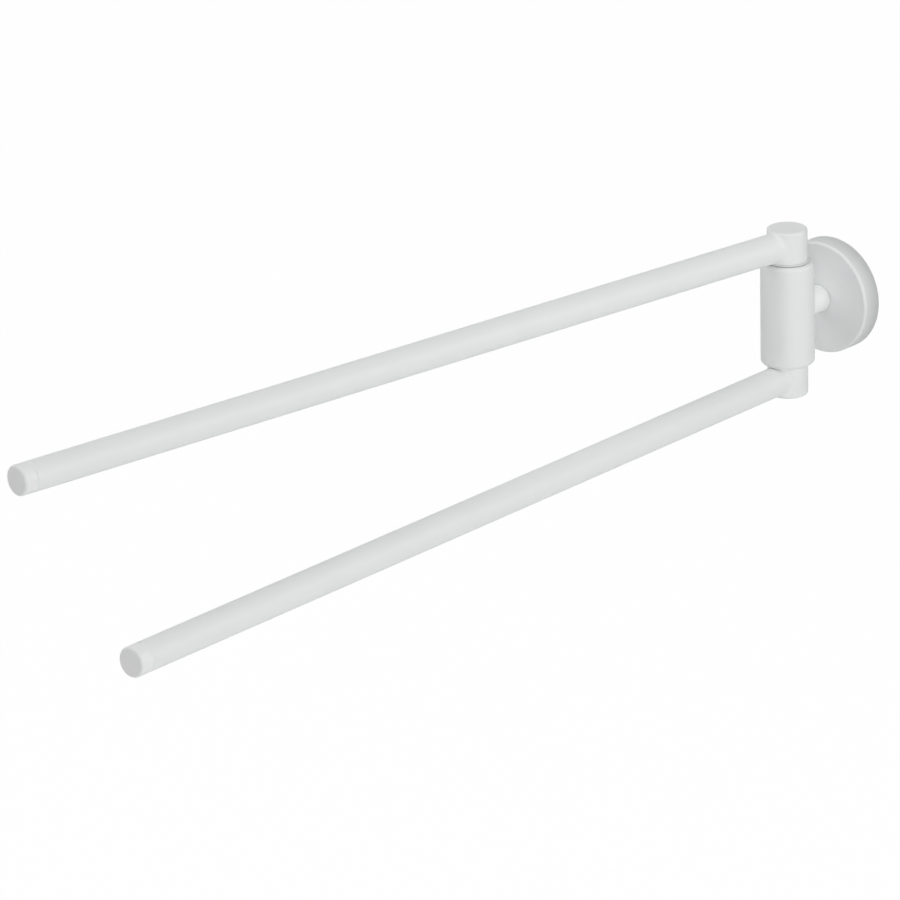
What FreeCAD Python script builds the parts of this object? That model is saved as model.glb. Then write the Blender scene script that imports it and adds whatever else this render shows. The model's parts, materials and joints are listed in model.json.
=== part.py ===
import FreeCAD, Part
import math
import os

Vector = FreeCAD.Vector

# Two-arm towel holder for a wall.
# The origin is the centre of the wall plate's back face, on the wall.
# The wall lies behind, along +Y. The arms reach forward, along -Y. +Z is up.
# All sizes are in millimetres and all angles in degrees.

# The whole object
axis_to_wall = 32.0
arm_reach = 418.0
upper_arm_angle = 8.8
lower_arm_angle = 0.0

# Clearances that several pieces share
fit_clearance = 0.05
running_gap = 0.05
thread_clearance = 0.05
hole_end_gap = 0.3
overrun = 2.0

# Rosette
rosette_radius = 25.0
rosette_depth = 9.25
rosette_skirt = 3.0
rosette_face = 2.5
rosette_edge_round = 1.3

# Wall plate
plate_clearance = 0.25
plate_thickness = 5.0
plate_centre_hole_radius = 8.5
plate_edge_chamfer = 0.3
wall_screw_spacing = 29.0
wall_screw_hole_radius = 2.25
wall_screw_sink_radius = 4.25

# Groove round the wall plate, and the grub screw that stands in it
lock_groove_depth = 1.2
lock_screw_radius = 2.0
lock_screw_recess = 0.4
lock_screw_tip_radius = 0.8
lock_screw_tip_gap = 0.15
lock_screw_offset = 0.2

# Sockets for a hexagon key
small_key_width = 2.0
small_key_depth = 1.8
large_key_width = 3.0
large_key_depth = 1.6

# Stem, with the share of its length that each thread takes
stem_radius = 6.0
stem_seat_depth = 2.15
stem_end_round = 1.4
stem_thread_share = 0.4

# Threaded stud between the stem and the barrel
stud_radius = 3.0
stud_in_barrel = 13.0

# Screw, washer and dowel between the rosette and the stem
stem_screw_radius = 2.0
stem_screw_head_radius = 3.5
stem_screw_head_height = 2.8
stem_washer_radius = 4.5
stem_washer_thickness = 0.8
washer_hole_clearance = 0.15
dowel_radius = 0.75
dowel_from_screw = 0.75
dowel_in_stem = 3.0
dowel_in_rosette = 2.0

# Barrel, with the wall that is left between the stud and each bore
barrel_radius = 11.75
barrel_height = 46.4
barrel_edge_round = 1.9
web_wall = 2.25

# Bushes, with the spring washer and the flange that make up the stack at each joint
joint_stack = 0.8
bush_wall = 1.4
bush_above_screw = 1.75

# Upper stack, which stands on the barrel
upper_washer_thickness = 0.35
upper_washer_inset = 1.5
upper_flange_inset = 0.1

# Lower stack, which is sunk in the barrel, and the gap that it leaves under the barrel
lower_joint_gap = 0.1
lower_washer_thickness = 0.25
lower_washer_inset = 0.3
lower_flange_inset = 0.25

# Pivot pin under each head
pin_radius = 5.5
pin_shank_radius = 4.0
pin_shank_length = 10.0
pin_end_gap = 0.5
pin_end_chamfer = 0.6
pin_nose_length = 3.25
pin_groove_depth = 1.2
pin_groove_width = 3.0

# Grub screw with a plain tip that stands in the pin's groove
retaining_screw_radius = 2.0
retaining_screw_recess = 0.5
retaining_tip_radius = 1.2
retaining_tip_gap = 0.25

# Head of each arm
hub_radius = 8.8
hub_edge_round = 1.1
hub_below_tube = 0.1
hub_above_tube = 1.0
neck_length = 2.2
neck_round = 2.0
tenon_length = 16.0
tenon_chamfer = 0.6

# Arm tube
tube_radius = 6.5
tube_wall = 1.25

# Cross pin that holds the tube on the tenon
tube_pin_radius = 1.25
tube_pin_from_neck = 8.0
tube_pin_recess = 0.2
tube_pin_above_axis = 2.5

# End cap
cap_length = 6.3
cap_edge_round = 1.2
joint_chamfer = 0.35
cap_spigot_length = 9.0
cap_spigot_wall = 1.4
cap_spigot_chamfer = 0.5

# Directions
UP = Vector(0, 0, 1)
DOWN = Vector(0, 0, -1)
FORWARD = Vector(0, -1, 0)
BACK = Vector(0, 1, 0)
pivot_axis = Vector(0, -axis_to_wall, 0)

# Heights above the middle of the barrel, and below it for the lower end
barrel_half = barrel_height / 2
web_half = stud_radius + web_wall
pin_bottom = web_half + pin_end_gap
groove_base = pin_bottom + pin_nose_length
groove_middle = groove_base + pin_groove_width / 2
sleeve_base = groove_middle + retaining_screw_radius + bush_above_screw
stack_top = barrel_half + joint_stack
upper_flange_base = barrel_half + upper_washer_thickness
upper_hub_base = stack_top + running_gap
upper_hub_top = upper_hub_base + hub_below_tube + tube_radius * 2 + hub_above_tube
upper_arm_height = upper_hub_base + hub_below_tube + tube_radius
lower_hub_base = barrel_half + lower_joint_gap
lower_arm_height = lower_hub_base + hub_below_tube + tube_radius
lower_washer_base = lower_hub_base - running_gap - lower_washer_thickness
lower_recess_depth = upper_hub_base - lower_hub_base
lower_flange_base = barrel_half - lower_recess_depth

# Distances from the pivot axis
bush_inner_radius = pin_radius + running_gap
bush_outer_radius = bush_inner_radius + bush_wall
bore_radius = bush_outer_radius + fit_clearance
upper_flange_radius = barrel_radius - barrel_edge_round - upper_flange_inset
upper_washer_radius = upper_flange_radius - upper_washer_inset
lower_flange_radius = hub_radius - lower_flange_inset
lower_washer_radius = lower_flange_radius - lower_washer_inset
lower_recess_radius = lower_flange_radius + fit_clearance
stem_seat = barrel_radius - stem_seat_depth
pin_groove_radius = pin_radius - pin_groove_depth
neck_end = hub_radius + neck_length
tube_pin_distance = neck_end + tube_pin_from_neck
cap_joint = arm_reach - cap_length

# Sizes that follow from the ones above
tube_bore_radius = tube_radius - tube_wall
tenon_radius = tube_bore_radius - fit_clearance
stem_length = axis_to_wall - rosette_depth - stem_seat
stem_thread = stem_length * stem_thread_share
dowel_offset = stem_screw_radius + dowel_from_screw + dowel_radius
rosette_inside = rosette_depth - rosette_face
rosette_bore_radius = rosette_radius - rosette_skirt
plate_radius = rosette_bore_radius - plate_clearance
lock_groove_floor_radius = plate_radius - lock_groove_depth
lock_groove_distance = plate_thickness / 2
lock_groove_floor_half = lock_screw_tip_radius + lock_screw_offset
lock_screw_distance = lock_groove_distance + lock_screw_offset
same_length = 1e-4


def rod(radius, length, start, direction):
    return Part.makeCylinder(radius, length, start, direction)


def ring(outer, inner, length, start, direction):
    return rod(outer, length, start, direction).cut(rod(inner, length, start, direction))


def from_pivot(forward, height):
    """A point in the object's middle plane, forward of the pivot axis."""
    return pivot_axis + FORWARD * forward + UP * height


def from_wall(distance, height=0):
    """A point in the object's middle plane, in front of the wall."""
    return FORWARD * distance + UP * height


def rims(shape, centre, radius):
    """The round edges of this radius about this centre."""
    found = []
    for edge in shape.Edges:
        curve = edge.Curve
        if not hasattr(curve, "Radius") or not hasattr(curve, "Center"):
            continue
        near = (curve.Center - centre).Length < same_length
        if near and abs(curve.Radius - radius) < same_length:
            found.append(edge)
    return found


def one_solid(shape):
    """The single solid that the cuts and joins have left."""
    shape = shape.removeSplitter()
    assert len(shape.Solids) == 1, "a piece has fallen apart"
    return shape.Solids[0]


def key_socket(width, depth, mouth, inward):
    """A six-sided hole for a key, from its mouth inward."""
    corner_radius = width / math.sqrt(3)
    turn = FreeCAD.Rotation(UP, inward)
    corners = []
    for step in range(7):
        angle = math.radians(60 * step)
        corner = Vector(math.cos(angle), math.sin(angle), 0) * corner_radius
        corners.append(mouth + turn.multVec(corner))
    return Part.Face(Part.makePolygon(corners)).extrude(inward * depth)


def make_rosette():
    front = from_wall(rosette_depth)
    shell = rod(rosette_radius, rosette_depth, from_wall(0), FORWARD)
    shell = shell.makeFillet(rosette_edge_round, rims(shell, front, rosette_radius))
    shell = shell.cut(rod(rosette_bore_radius, rosette_inside, from_wall(0), FORWARD))
    screw_hole = rod(stem_screw_radius + washer_hole_clearance, rosette_depth, front, BACK)
    dowel_hole = rod(dowel_radius + fit_clearance, dowel_in_rosette + fit_clearance,
                     from_wall(rosette_depth, dowel_offset), BACK)
    lock_hole = rod(lock_screw_radius + thread_clearance, rosette_radius,
                    from_wall(lock_screw_distance), DOWN)
    return one_solid(shell.cut(screw_hole).cut(dowel_hole).cut(lock_hole))


def make_wall_plate():
    front = from_wall(plate_thickness)
    plate = rod(plate_radius, plate_thickness, from_wall(0), FORWARD)
    plate = plate.makeChamfer(plate_edge_chamfer, rims(plate, front, plate_radius))
    plate = plate.cut(rod(plate_centre_hole_radius, plate_thickness, front, BACK))
    sink_depth = wall_screw_sink_radius - wall_screw_hole_radius
    for side in (-1, 1):
        mouth = front + Vector(side * wall_screw_spacing / 2, 0, 0)
        hole = rod(wall_screw_hole_radius, plate_thickness, mouth, BACK)
        sink = Part.makeCone(wall_screw_sink_radius, wall_screw_hole_radius, sink_depth, mouth, BACK)
        plate = plate.cut(hole).cut(sink)
    return one_solid(plate.cut(lock_groove()))


def lock_groove():
    """The groove's ring, with sides that slope at 45 degrees."""
    mouth_half = lock_groove_floor_half + lock_groove_depth
    outline = [
        from_wall(lock_groove_distance + mouth_half, plate_radius),
        from_wall(lock_groove_distance + lock_groove_floor_half, lock_groove_floor_radius),
        from_wall(lock_groove_distance - lock_groove_floor_half, lock_groove_floor_radius),
        from_wall(lock_groove_distance - mouth_half, plate_radius),
    ]
    outline.append(outline[0])
    return Part.Face(Part.makePolygon(outline)).revolve(from_wall(0), BACK, 360)


def make_rosette_lock_screw():
    """A grub screw with a cone point, up through the bottom of the rosette."""
    outer = rosette_radius - lock_screw_recess
    tip = lock_groove_floor_radius + lock_screw_tip_gap
    cone_length = lock_screw_radius - lock_screw_tip_radius
    start = from_wall(lock_screw_distance, -outer)
    body = rod(lock_screw_radius, outer - tip - cone_length, start, UP)
    cone = Part.makeCone(lock_screw_radius, lock_screw_tip_radius, cone_length,
                         from_wall(lock_screw_distance, -tip - cone_length), UP)
    return one_solid(body.fuse(cone).cut(key_socket(small_key_width, small_key_depth, start, UP)))


def make_stem():
    wall_end = from_wall(rosette_depth)
    barrel_end = from_pivot(-stem_seat, 0)
    stem = rod(stem_radius, stem_length, wall_end, FORWARD)
    stem = stem.makeFillet(stem_end_round, rims(stem, wall_end, stem_radius))
    screw_hole = rod(stem_screw_radius + thread_clearance, stem_thread + hole_end_gap, wall_end, FORWARD)
    stud_hole = rod(stud_radius + thread_clearance, stem_thread + hole_end_gap, barrel_end, BACK)
    dowel_hole = rod(dowel_radius + fit_clearance, dowel_in_stem + fit_clearance,
                     from_wall(rosette_depth, dowel_offset), FORWARD)
    return one_solid(stem.cut(screw_hole).cut(stud_hole).cut(dowel_hole))


def make_stem_stud():
    return rod(stud_radius, stem_thread + stud_in_barrel, from_pivot(-stem_seat - stem_thread, 0), FORWARD)


def make_stem_screw():
    head_base = rosette_inside - stem_washer_thickness
    head_top = from_wall(head_base - stem_screw_head_height)
    shank_length = stem_washer_thickness + rosette_face + stem_thread
    shank = rod(stem_screw_radius, shank_length, from_wall(head_base), FORWARD)
    head = rod(stem_screw_head_radius, stem_screw_head_height, head_top, FORWARD)
    socket = key_socket(large_key_width, large_key_depth, head_top, FORWARD)
    return one_solid(shank.fuse(head).cut(socket))


def make_stem_screw_washer():
    return ring(stem_washer_radius, stem_screw_radius + washer_hole_clearance, stem_washer_thickness,
                from_wall(rosette_inside), BACK)


def make_stem_dowel():
    start = from_wall(rosette_depth - dowel_in_rosette, dowel_offset)
    return rod(dowel_radius, dowel_in_rosette + dowel_in_stem, start, FORWARD)


def make_barrel():
    barrel = rod(barrel_radius, barrel_height, from_pivot(0, -barrel_half), UP)
    ends = rims(barrel, from_pivot(0, barrel_half), barrel_radius)
    ends += rims(barrel, from_pivot(0, -barrel_half), barrel_radius)
    barrel = barrel.makeFillet(barrel_edge_round, ends)
    seat = from_pivot(-stem_seat, 0)
    stem_socket = rod(stem_radius + fit_clearance, barrel_radius, seat, BACK)
    stud_hole = rod(stud_radius + thread_clearance, stud_in_barrel + hole_end_gap, seat, FORWARD)
    barrel = barrel.cut(stem_socket).cut(stud_hole)
    for side in (-1, 1):
        bore = rod(bore_radius, barrel_half, from_pivot(0, side * web_half), UP * side)
        screw_hole = rod(retaining_screw_radius + thread_clearance, barrel_radius,
                         from_pivot(0, side * groove_middle), BACK)
        barrel = barrel.cut(bore).cut(screw_hole)
    recess = rod(lower_recess_radius, lower_recess_depth, from_pivot(0, -lower_flange_base), DOWN)
    return one_solid(barrel.cut(recess))


def make_upper_spring_washer():
    """A washer on the barrel, under the flange of the bush."""
    return ring(upper_washer_radius, bore_radius, upper_washer_thickness,
                from_pivot(0, barrel_half), UP)


def make_lower_spring_washer():
    """A washer under the flange of the bush, round the pivot pin."""
    return ring(lower_washer_radius, bush_inner_radius, lower_washer_thickness,
                from_pivot(0, -lower_washer_base), DOWN)


def make_pivot_bush(side, flange_radius, flange_base, flange_end):
    """A bush with its flange between these heights. The sleeve ends flush with the flange."""
    start = from_pivot(0, side * sleeve_base)
    sleeve = rod(bush_outer_radius, flange_end - sleeve_base, start, UP * side)
    flange = rod(flange_radius, flange_end - flange_base, from_pivot(0, side * flange_base), UP * side)
    bore = rod(bush_inner_radius, flange_end - sleeve_base, start, UP * side)
    return one_solid(sleeve.fuse(flange).cut(bore))


def make_retaining_screw(side):
    """A grub screw in the back of the barrel. Its tip keeps the pivot pin from lifting out."""
    outer = barrel_radius - retaining_screw_recess
    tip = pin_groove_radius + retaining_tip_gap
    height = side * groove_middle
    body = rod(retaining_screw_radius, outer - bore_radius, from_pivot(-outer, height), FORWARD)
    point = rod(retaining_tip_radius, outer - tip, from_pivot(-outer, height), FORWARD)
    socket = key_socket(small_key_width, small_key_depth, from_pivot(-outer, height), FORWARD)
    return one_solid(body.fuse(point).cut(socket))


def make_pivot_pin(side):
    """A pin whose journal ends where the arm's head begins."""
    hub_base = upper_hub_base if side > 0 else lower_hub_base
    nose = from_pivot(0, side * pin_bottom)
    journal = rod(pin_radius, hub_base - pin_bottom, nose, UP * side)
    journal = journal.makeChamfer(pin_end_chamfer, rims(journal, nose, pin_radius))
    groove = ring(pin_radius, pin_groove_radius, pin_groove_width,
                  from_pivot(0, side * groove_base), UP * side)
    shank = rod(pin_shank_radius, pin_shank_length, from_pivot(0, side * hub_base), UP * side)
    return one_solid(journal.cut(groove).fuse(shank))


def make_hub(side):
    """An arm's head with its neck and tenon. The lower one is the upper one turned over."""
    root = upper_hub_base - overrun
    body = rod(hub_radius, upper_hub_top - root, from_pivot(0, root), UP)
    body = body.makeFillet(hub_edge_round, rims(body, from_pivot(0, upper_hub_top), hub_radius))
    body = body.fuse(rod(tube_radius, neck_end, from_pivot(0, upper_arm_height), FORWARD)).removeSplitter()
    seam = [edge for edge in body.Edges if edge.Curve.TypeId == "Part::GeomBSplineCurve"]
    body = body.makeFillet(neck_round, seam)
    body = body.cut(rod(neck_end, overrun, from_pivot(0, root), UP))
    shank_hole = rod(pin_shank_radius + thread_clearance, pin_shank_length + hole_end_gap,
                     from_pivot(0, upper_hub_base), UP)
    body = body.cut(shank_hole).fuse(make_tenon())
    if side < 0:
        body = body.mirror(from_wall(0), UP).translated(UP * lower_recess_depth)
    return one_solid(body.cut(tube_pin_hole(side)))


def make_tenon():
    """The tenon at the upper arm's height."""
    tip = from_pivot(neck_end + tenon_length, upper_arm_height)
    tenon = rod(tenon_radius, tenon_length, tip, BACK)
    return tenon.makeChamfer(tenon_chamfer, rims(tenon, tip, tenon_radius))


def arm_level(side):
    """The height of an arm's middle line, below zero for the lower arm."""
    return upper_arm_height if side > 0 else -lower_arm_height


def tube_pin_hole(side):
    """The hole for the cross pin, open underneath on both arms."""
    top = from_pivot(tube_pin_distance, arm_level(side) + tube_pin_above_axis + fit_clearance)
    return rod(tube_pin_radius + fit_clearance, tube_radius * 2, top, DOWN)


def make_tube_pin(side):
    top = from_pivot(tube_pin_distance, arm_level(side) + tube_pin_above_axis)
    return rod(tube_pin_radius, tube_radius + tube_pin_above_axis - tube_pin_recess, top, DOWN)


def make_arm_tube(side):
    height = arm_level(side)
    start = from_pivot(neck_end, height)
    tube = rod(tube_radius, cap_joint - neck_end, start, FORWARD)
    tube = tube.makeChamfer(joint_chamfer, rims(tube, from_pivot(cap_joint, height), tube_radius))
    tube = tube.cut(rod(tube_bore_radius, cap_joint - neck_end, start, FORWARD))
    return one_solid(tube.cut(tube_pin_hole(side)))


def make_end_cap(side):
    height = arm_level(side)
    joint = from_pivot(cap_joint, height)
    cap = rod(tube_radius, cap_length, joint, FORWARD)
    cap = cap.makeFillet(cap_edge_round, rims(cap, from_pivot(arm_reach, height), tube_radius))
    cap = cap.makeChamfer(joint_chamfer, rims(cap, joint, tube_radius))
    spigot_end = from_pivot(cap_joint - cap_spigot_length, height)
    spigot = rod(tenon_radius, cap_spigot_length, spigot_end, FORWARD)
    spigot = spigot.makeChamfer(cap_spigot_chamfer, rims(spigot, spigot_end, tenon_radius))
    hollow = rod(tenon_radius - cap_spigot_wall, cap_spigot_length, spigot_end, FORWARD)
    return one_solid(cap.fuse(spigot).cut(hollow))


def swung(shape, side):
    """A piece of an arm, turned to the side on which the arm rests."""
    angle = upper_arm_angle if side > 0 else lower_arm_angle
    return shape.rotate(pivot_axis, UP, -angle)


def main():
    pieces = {
        "rosette": make_rosette(),
        "wall_plate": make_wall_plate(),
        "rosette_lock_screw": make_rosette_lock_screw(),
        "stem": make_stem(),
        "stem_stud": make_stem_stud(),
        "stem_screw": make_stem_screw(),
        "stem_screw_washer": make_stem_screw_washer(),
        "stem_dowel": make_stem_dowel(),
        "barrel": make_barrel(),
        "upper_spring_washer": make_upper_spring_washer(),
        "upper_pivot_bush": make_pivot_bush(1, upper_flange_radius, upper_flange_base, stack_top),
        "lower_spring_washer": make_lower_spring_washer(),
        "lower_pivot_bush": make_pivot_bush(-1, lower_flange_radius, lower_flange_base, lower_washer_base),
    }
    for name, side in (("upper", 1), ("lower", -1)):
        pieces[name + "_retaining_screw"] = make_retaining_screw(side)
        pieces[name + "_pivot_pin"] = swung(make_pivot_pin(side), side)
        pieces[name + "_hub"] = swung(make_hub(side), side)
        pieces[name + "_arm_tube"] = swung(make_arm_tube(side), side)
        pieces[name + "_tube_pin"] = swung(make_tube_pin(side), side)
        pieces[name + "_end_cap"] = swung(make_end_cap(side), side)
    os.makedirs("parts", exist_ok=True)
    for name, shape in pieces.items():
        shape.exportStep("parts/" + name + ".step")
        print(name, round(shape.Volume, 1), "mm3, valid:", shape.isValid())


main()
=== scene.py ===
import json
import math

import bpy
from mathutils import Matrix, Vector


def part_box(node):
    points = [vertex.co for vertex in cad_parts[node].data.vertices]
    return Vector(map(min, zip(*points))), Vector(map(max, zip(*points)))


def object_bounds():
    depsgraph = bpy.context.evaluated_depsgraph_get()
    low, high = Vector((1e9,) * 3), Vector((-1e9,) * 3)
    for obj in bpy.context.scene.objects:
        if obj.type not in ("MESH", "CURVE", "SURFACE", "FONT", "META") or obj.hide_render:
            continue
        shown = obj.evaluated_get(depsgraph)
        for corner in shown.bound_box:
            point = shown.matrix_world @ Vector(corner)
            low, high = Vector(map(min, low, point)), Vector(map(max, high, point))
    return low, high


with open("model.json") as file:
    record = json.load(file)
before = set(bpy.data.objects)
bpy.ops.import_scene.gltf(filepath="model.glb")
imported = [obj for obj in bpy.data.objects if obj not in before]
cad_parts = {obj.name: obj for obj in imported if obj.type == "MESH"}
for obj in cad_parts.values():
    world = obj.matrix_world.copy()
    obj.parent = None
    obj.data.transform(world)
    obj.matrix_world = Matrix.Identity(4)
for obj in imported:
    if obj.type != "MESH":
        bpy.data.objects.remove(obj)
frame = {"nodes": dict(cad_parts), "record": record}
cad_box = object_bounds()

# All lengths are in metres and all angles in degrees.

# The camera, aimed at the middle of the barrel and then turned a little off it
image_pixels = 900
sensor_width = 36.0
focal_pixels = 7793.52
camera_azimuth = 38.493
camera_elevation = 19.516
camera_distance = 3.3688
camera_yaw = -2.485
camera_pitch = 1.006
camera_roll = 0.329
camera_near = 0.1
camera_far = 30.0

# The floor, its size and its drop below the lowest point of the holder
floor_size = 14.0
floor_drop = 0.42
floor_colour = (0.88, 0.88, 0.88)
floor_shadow_share = 0.015

# Light that comes from all round, and the white that the camera sees behind
ambient_colour = (1.0, 1.0, 1.0)
ambient_strength = 0.2
backdrop_strength = 1.0

# Lamps: name, azimuth and elevation of the side they light, distance, size, watts
lamps = (
    ("left_lamp", -60.0, 35.0, 2.4, 1.6, 18.6),
    ("front_lamp", 50.0, 5.0, 2.4, 1.6, 20.5),
    ("top_lamp", 0.0, 85.0, 2.4, 1.6, 14.6),
    ("side_lamp", 100.0, 25.0, 1.1, 0.7, 3.85),
)

# A dark studio card behind the rosette. It shades the rosette's rim and isn't seen.
card_inner_gap = 0.0002
card_outer_radius = 0.05
card_behind = 0.0006
card_steps = 96
card_colour = (0.02, 0.02, 0.02)


def direction(azimuth, elevation):
    """The unit vector from the object towards a viewer. Azimuth 0 is in front, 90 on the right."""
    a = math.radians(azimuth)
    e = math.radians(elevation)
    return Vector((math.sin(a) * math.cos(e), -math.cos(a) * math.cos(e), math.sin(e)))


def middle(node):
    low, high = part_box(node)
    return (low + high) / 2


def make_camera():
    back = direction(camera_azimuth, camera_elevation)
    azimuth = math.radians(camera_azimuth)
    right = Vector((math.cos(azimuth), math.sin(azimuth), 0))
    up = back.cross(right)
    aimed = Matrix((right, up, back))
    yaw = Matrix.Rotation(math.radians(camera_yaw), 3, "Y")
    pitch = Matrix.Rotation(math.radians(camera_pitch), 3, "X")
    roll = Matrix.Rotation(math.radians(camera_roll), 3, "Z")
    turned = (roll @ pitch @ yaw @ aimed).transposed()
    camera = bpy.data.cameras.new("camera")
    camera.sensor_width = sensor_width
    camera.lens = focal_pixels * sensor_width / image_pixels
    camera.clip_start = camera_near
    camera.clip_end = camera_far
    holder = bpy.data.objects.new("camera", camera)
    place = middle("barrel") + back * camera_distance
    holder.matrix_world = Matrix.Translation(place) @ turned.to_4x4()
    bpy.context.scene.collection.objects.link(holder)
    bpy.context.scene.camera = holder


def make_lamps():
    target = middle("barrel")
    for name, azimuth, elevation, distance, size, watts in lamps:
        lamp = bpy.data.lights.new(name, "AREA")
        lamp.shape = "DISK"
        lamp.size = size
        lamp.energy = watts
        holder = bpy.data.objects.new(name, lamp)
        towards = direction(azimuth, elevation)
        holder.location = target + towards * distance
        holder.rotation_mode = "QUATERNION"
        holder.rotation_quaternion = towards.to_track_quat("Z", "Y")
        holder.visible_camera = False
        bpy.context.scene.collection.objects.link(holder)


def seen_directly(nodes, links):
    """A value of 1 for what the camera, a gloss or a glass shows, and 0 for light on the object."""
    path = nodes.new("ShaderNodeLightPath")
    first = nodes.new("ShaderNodeMath")
    first.operation = "MAXIMUM"
    links.new(path.outputs["Is Camera Ray"], first.inputs[0])
    links.new(path.outputs["Is Glossy Ray"], first.inputs[1])
    second = nodes.new("ShaderNodeMath")
    second.operation = "MAXIMUM"
    links.new(first.outputs[0], second.inputs[0])
    links.new(path.outputs["Is Transmission Ray"], second.inputs[1])
    return second.outputs[0]


def make_world():
    world = bpy.data.worlds.new("world")
    world.use_nodes = True
    nodes = world.node_tree.nodes
    links = world.node_tree.links
    nodes.clear()
    light = nodes.new("ShaderNodeBackground")
    light.inputs["Color"].default_value = (*ambient_colour, 1)
    light.inputs["Strength"].default_value = ambient_strength
    white = nodes.new("ShaderNodeBackground")
    white.inputs["Color"].default_value = (1, 1, 1, 1)
    white.inputs["Strength"].default_value = backdrop_strength
    mix = nodes.new("ShaderNodeMixShader")
    links.new(seen_directly(nodes, links), mix.inputs[0])
    links.new(light.outputs[0], mix.inputs[1])
    links.new(white.outputs[0], mix.inputs[2])
    output = nodes.new("ShaderNodeOutputWorld")
    links.new(mix.outputs[0], output.inputs["Surface"])
    bpy.context.scene.world = world


def make_floor():
    height = cad_box[0].z - floor_drop
    half = floor_size / 2
    mesh = bpy.data.meshes.new("floor")
    corners = [
        (-half, -half, height),
        (half, -half, height),
        (half, half, height),
        (-half, half, height),
    ]
    mesh.from_pydata(corners, [], [(0, 1, 2, 3)])
    floor = bpy.data.objects.new("floor", mesh)
    bpy.context.scene.collection.objects.link(floor)
    material = bpy.data.materials.new("floor_paper")
    material.use_nodes = True
    nodes = material.node_tree.nodes
    links = material.node_tree.links
    nodes.clear()
    paper = nodes.new("ShaderNodeBsdfDiffuse")
    paper.inputs["Color"].default_value = (*floor_colour, 1)
    white = nodes.new("ShaderNodeEmission")
    white.inputs["Strength"].default_value = backdrop_strength
    share = nodes.new("ShaderNodeMath")
    share.operation = "MULTIPLY"
    share.inputs[1].default_value = 1 - floor_shadow_share
    links.new(seen_directly(nodes, links), share.inputs[0])
    lit = nodes.new("ShaderNodeMixShader")
    links.new(share.outputs[0], lit.inputs[0])
    links.new(paper.outputs[0], lit.inputs[1])
    links.new(white.outputs[0], lit.inputs[2])
    below = nodes.new("ShaderNodeBsdfTransparent")
    side = nodes.new("ShaderNodeNewGeometry")
    mix = nodes.new("ShaderNodeMixShader")
    links.new(side.outputs["Backfacing"], mix.inputs[0])
    links.new(lit.outputs[0], mix.inputs[1])
    links.new(below.outputs[0], mix.inputs[2])
    output = nodes.new("ShaderNodeOutputMaterial")
    links.new(mix.outputs[0], output.inputs["Surface"])
    mesh.materials.append(material)


def make_shade_card():
    low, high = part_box("rosette")
    inner_radius = (high.x - low.x) / 2 + card_inner_gap
    y = high.y + card_behind
    corners = []
    faces = []
    for step in range(card_steps):
        angle = 2 * math.pi * step / card_steps
        for radius in (inner_radius, card_outer_radius):
            corners.append((radius * math.cos(angle), y, radius * math.sin(angle)))
        a = 2 * step
        b = 2 * ((step + 1) % card_steps)
        faces.append((a, a + 1, b + 1, b))
    mesh = bpy.data.meshes.new("shade_card")
    mesh.from_pydata(corners, [], faces)
    card = bpy.data.objects.new("shade_card", mesh)
    bpy.context.scene.collection.objects.link(card)
    card.visible_camera = False
    card.visible_glossy = False
    card.visible_transmission = False
    material = bpy.data.materials.new("shade_card_cloth")
    material.use_nodes = True
    nodes = material.node_tree.nodes
    nodes.clear()
    cloth = nodes.new("ShaderNodeBsdfDiffuse")
    cloth.inputs["Color"].default_value = (*card_colour, 1)
    output = nodes.new("ShaderNodeOutputMaterial")
    material.node_tree.links.new(cloth.outputs[0], output.inputs["Surface"])
    mesh.materials.append(material)


# Materials: linear colours, the grain of each noise and the depth of each bump.
# A roughness runs from low to high. The plain value serves tools that read no noise.

# Powder coating, with its orange peel and a finer grain on it
coating_deep = (0.791, 0.81, 0.806)
coating_light = (0.803, 0.822, 0.818)
coating_tint_grain = 0.02
coating_roughness = 0.52
coating_roughness_low = 0.48
coating_roughness_high = 0.58
coating_roughness_grain = 0.004
coating_peel_grain = 0.0011
coating_peel_depth = 0.000008
coating_fine_grain = 0.0003
coating_fine_depth = 0.0000015

# Plastic of the end caps
cap_deep = (0.812, 0.82, 0.816)
cap_light = (0.832, 0.84, 0.836)
cap_tint_grain = 0.006
cap_roughness = 0.4
cap_roughness_low = 0.44
cap_roughness_high = 0.54
cap_roughness_grain = 0.002
cap_bump_grain = 0.0004
cap_bump_depth = 0.000003

# Plastic of the bushes
bush_deep = (0.77, 0.785, 0.78)
bush_light = (0.80, 0.815, 0.81)
bush_tint_grain = 0.002
bush_roughness = 0.5
bush_bump_grain = 0.0003
bush_bump_depth = 0.000004

# Steels: name, dark and light colour, low and high roughness, stretch of the marks
steels = (
    ("zinc_plate", (0.5, 0.52, 0.54), (0.64, 0.65, 0.66), 0.28, 0.45, (0.05, 1, 1)),
    ("screw_steel", (0.42, 0.42, 0.42), (0.56, 0.56, 0.56), 0.25, 0.4, (1, 1, 1)),
    ("pin_steel", (0.52, 0.52, 0.53), (0.64, 0.64, 0.65), 0.2, 0.35, (0.05, 0.05, 1)),
    ("spring_steel", (0.1, 0.1, 0.105), (0.16, 0.16, 0.165), 0.35, 0.5, (1, 1, 1)),
)
steel_tint_grain = 0.004
steel_mark_grain = 0.0004
steel_mark_depth = 0.000006

# Layers of detail in a noise, and the middle of its values that a material uses
few_layers = 2
some_layers = 3
many_layers = 4
noise_low = 0.3
noise_high = 0.7


def new_material(name, roughness, metallic):
    material = bpy.data.materials.new(name)
    material.use_nodes = True
    shader = material.node_tree.nodes["Principled BSDF"]
    shader.inputs["Roughness"].default_value = roughness
    shader.inputs["Metallic"].default_value = metallic
    return material, material.node_tree, shader


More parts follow.
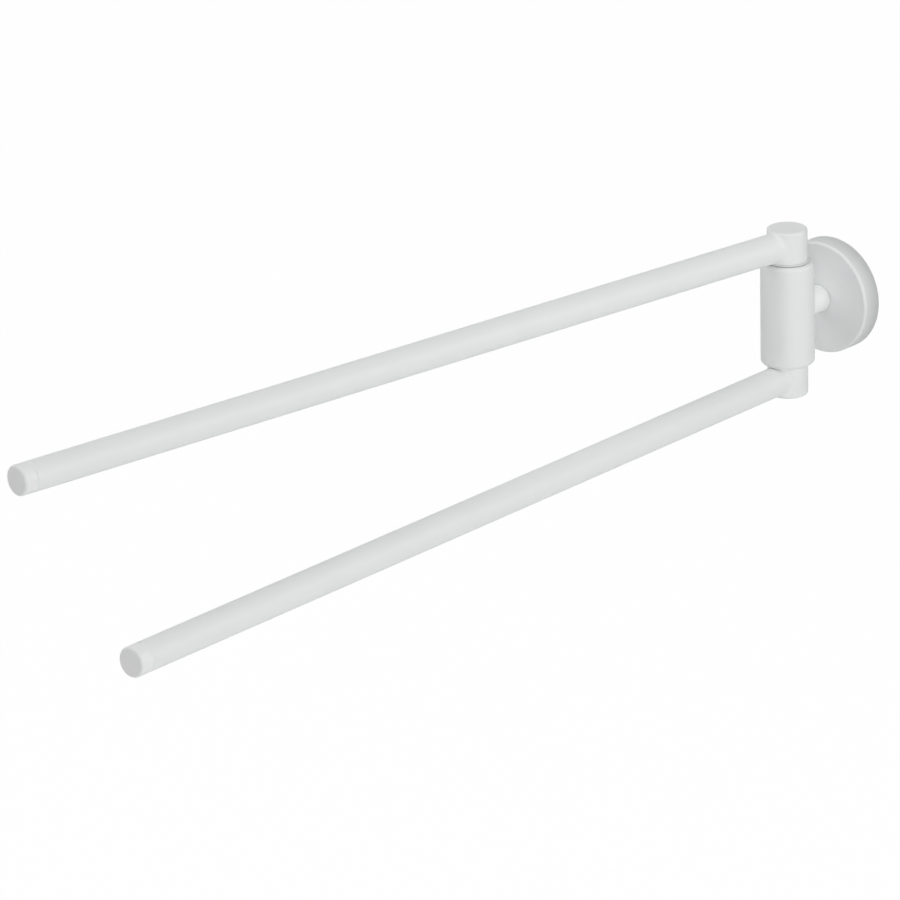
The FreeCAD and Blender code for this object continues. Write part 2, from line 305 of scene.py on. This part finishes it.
def noise(tree, grain, detail, stretch=(1, 1, 1)):
    """Noise whose lumps are about one grain wide, longer along an axis with a small stretch."""
    place = tree.nodes.new("ShaderNodeTexCoord")
    scaled = tree.nodes.new("ShaderNodeMapping")
    scaled.inputs["Scale"].default_value = stretch
    texture = tree.nodes.new("ShaderNodeTexNoise")
    texture.inputs["Scale"].default_value = 1 / grain
    texture.inputs["Detail"].default_value = detail
    tree.links.new(place.outputs["Object"], scaled.inputs["Vector"])
    tree.links.new(scaled.outputs["Vector"], texture.inputs["Vector"])
    return texture.outputs["Fac"]


def spread(tree, value, low, high):
    """Maps the middle of a noise onto the range from low to high."""
    ranged = tree.nodes.new("ShaderNodeMapRange")
    ranged.inputs["From Min"].default_value = noise_low
    ranged.inputs["From Max"].default_value = noise_high
    ranged.inputs["To Min"].default_value = low
    ranged.inputs["To Max"].default_value = high
    tree.links.new(value, ranged.inputs["Value"])
    return ranged.outputs["Result"]


def tint(tree, shader, value, dark, light):
    """Colours a material from dark to light, by the value of a noise."""
    ramp = tree.nodes.new("ShaderNodeValToRGB")
    ramp.color_ramp.elements[0].position = noise_low
    ramp.color_ramp.elements[0].color = (*dark, 1)
    ramp.color_ramp.elements[1].position = noise_high
    ramp.color_ramp.elements[1].color = (*light, 1)
    tree.links.new(value, ramp.inputs["Fac"])
    tree.links.new(ramp.outputs["Color"], shader.inputs["Base Color"])


def bump(tree, shader, heights):
    """Stacks bumps: pairs of a height from 0 to 1 and its real depth."""
    normal = None
    for value, depth in heights:
        step = tree.nodes.new("ShaderNodeBump")
        step.inputs["Strength"].default_value = 1
        step.inputs["Distance"].default_value = depth
        tree.links.new(value, step.inputs["Height"])
        if normal:
            tree.links.new(normal, step.inputs["Normal"])
        normal = step.outputs["Normal"]
    tree.links.new(normal, shader.inputs["Normal"])


def white_coating():
    """Satin powder coating, with its faint orange peel."""
    material, tree, shader = new_material("white_coating", coating_roughness, 0)
    tint(tree, shader, noise(tree, coating_tint_grain, some_layers), coating_deep, coating_light)
    peel = noise(tree, coating_peel_grain, few_layers)
    patches = noise(tree, coating_roughness_grain, some_layers)
    roughness = spread(tree, patches, coating_roughness_low, coating_roughness_high)
    tree.links.new(roughness, shader.inputs["Roughness"])
    fine = noise(tree, coating_fine_grain, few_layers)
    bump(tree, shader, [(peel, coating_peel_depth), (fine, coating_fine_depth)])
    return material


def cap_plastic():
    """Moulded plastic, a little smoother than the coating."""
    material, tree, shader = new_material("cap_plastic", cap_roughness, 0)
    tint(tree, shader, noise(tree, cap_tint_grain, some_layers), cap_deep, cap_light)
    patches = noise(tree, cap_roughness_grain, some_layers)
    roughness = spread(tree, patches, cap_roughness_low, cap_roughness_high)
    tree.links.new(roughness, shader.inputs["Roughness"])
    bump(tree, shader, [(noise(tree, cap_bump_grain, some_layers), cap_bump_depth)])
    return material


def bush_plastic():
    """The slightly greyer plastic of the bushes."""
    material, tree, shader = new_material("bush_plastic", bush_roughness, 0)
    tint(tree, shader, noise(tree, bush_tint_grain, few_layers), bush_deep, bush_light)
    bump(tree, shader, [(noise(tree, bush_bump_grain, some_layers), bush_bump_depth)])
    return material


def steel(name, dark, light, low, high, stretch):
    """Worked steel, with fine marks that run across the stretched axis."""
    material, tree, shader = new_material(name, low, 1)
    marks = noise(tree, steel_mark_grain, many_layers, stretch)
    tint(tree, shader, noise(tree, steel_tint_grain, many_layers), dark, light)
    tree.links.new(spread(tree, marks, low, high), shader.inputs["Roughness"])
    bump(tree, shader, [(marks, steel_mark_depth)])
    return material


def dress():
    """Gives each piece the material that the record names for it."""
    slots = {row["node"]: row["material_slot"] for row in frame["record"]["subparts"]}
    made = {
        "white_coating": white_coating(),
        "cap_plastic": cap_plastic(),
        "bush_plastic": bush_plastic(),
    }
    for name, dark, light, low, high, stretch in steels:
        made[name] = steel(name, dark, light, low, high, stretch)
    for name, node in frame["nodes"].items():
        node.data.materials.clear()
        node.data.materials.append(made[slots[name]])


make_camera()
make_world()
make_floor()
make_shade_card()
make_lamps()
dress()
bpy.context.scene.view_settings.view_transform = "Standard"
